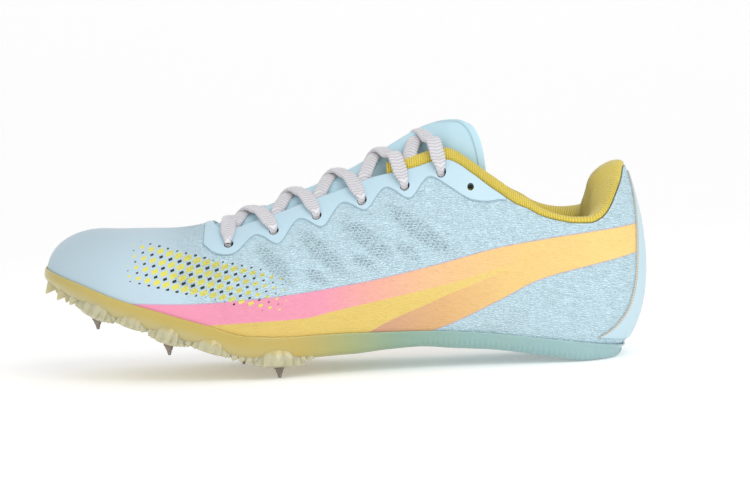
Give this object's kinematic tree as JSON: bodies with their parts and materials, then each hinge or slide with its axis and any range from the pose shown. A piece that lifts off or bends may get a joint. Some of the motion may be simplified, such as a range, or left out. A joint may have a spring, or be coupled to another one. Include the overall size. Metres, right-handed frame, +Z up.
{
  "type": "sprint running shoe",
  "caption": "Low sprint running shoe with a hollow knit upper, padded collar, tongue, laced throat and a thin upturned spike plate with steel pins.",
  "frame": {"origin": "centre of the footprint box, on the floor", "axes": "-X to the toe, +X to the heel, -Y to the outer side, +Z up"},
  "size_m": [0.2832, 0.0908, 0.112],
  "materials": {
    "knit_upper": "matte woven knit, pale blue",
    "film_overlay": "satin bonded film, pale blue",
    "lining_knit": "ribbed yellow knit",
    "tongue_fabric": "smooth pale blue microfibre",
    "insole_fabric": "matte foam and cloth",
    "spike_plate": "satin moulded plate, yellow at the toe to green at the heel",
    "spike_steel": "bright steel pins",
    "lace_cord": "off-white flat braid"
  },
  "bodies": {
    "root": {"upper": "knit_upper", "eyestay": "film_overlay", "heel_strip": "film_overlay", "collar_lining": "lining_knit", "tongue": "tongue_fabric", "insole": "insole_fabric", "sole": "spike_plate", "spike_1": "spike_steel", "spike_2": "spike_steel", "spike_3": "spike_steel", "spike_4": "spike_steel", "spike_5": "spike_steel", "spike_6": "spike_steel", "lace_1": "lace_cord", "lace_2": "lace_cord", "lace_3": "lace_cord", "lace_4": "lace_cord", "lace_5": "lace_cord", "lace_6": "lace_cord"}
  },
  "joints": []
}
